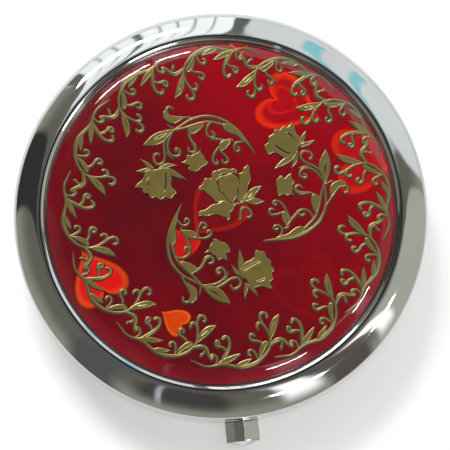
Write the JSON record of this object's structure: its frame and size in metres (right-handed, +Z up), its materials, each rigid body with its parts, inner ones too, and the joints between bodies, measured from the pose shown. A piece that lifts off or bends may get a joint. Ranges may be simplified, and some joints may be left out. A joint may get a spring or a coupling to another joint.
{
  "type": "compact mirror",
  "caption": "Round hinged pocket compact: polished convex metal case, clear domed lid over red foil, sprung push-button latch and a mirror in each half.",
  "frame": {"origin": "centre of the flat underside of the closed compact, under the axis of the round case", "axes": "+Z up through the lid, -Y towards the push-button, +Y towards the hinge, +X to the right seen from the button"},
  "size_m": [0.07, 0.0742, 0.0103],
  "materials": {
    "polished_case": "mirror-polished plating on a cast case",
    "plated_ring": "bright plating",
    "red_foil": "metallised film",
    "clear_resin": "clear, poured",
    "mirror_glass": "silvered",
    "foam_tape": "closed-cell foam",
    "steel": "plain"
  },
  "bodies": {
    "base": {"base_shell": "polished_case", "base_frame": "plated_ring", "base_mirror": "mirror_glass", "base_mirror_pad": "foam_tape", "base_hinge_leaf": "steel", "hinge_pin": "steel", "base_hinge_rivets": "steel", "latch_spring": "steel", "latch_retainer": "steel", "retainer_screws": "steel"},
    "lid": {"lid_shell": "polished_case", "foil_disc": "red_foil", "resin_dome": "clear_resin", "lid_frame": "plated_ring", "lid_mirror": "mirror_glass", "lid_mirror_pad": "foam_tape", "lid_hinge_leaf": "steel", "lid_hinge_rivets": "steel", "lid_catch": "steel"},
    "button": {"push_button": "polished_case", "latch_slider": "steel"}
  },
  "joints": [
    {"name": "lid_hinge", "type": "hinge", "parent": "base", "child": "lid", "pos_m": [0, 0.0336, 0.005], "axis": [-1, 0, 0], "range_deg": [0, 110]},
    {"name": "button_press", "type": "slide", "parent": "base", "child": "button", "axis": [0, 1, 0], "range_m": [0, 0.0012], "stiffness_N_per_m": 800, "springref_m": -0.0015, "deforming": ["latch_spring"]}
  ]
}
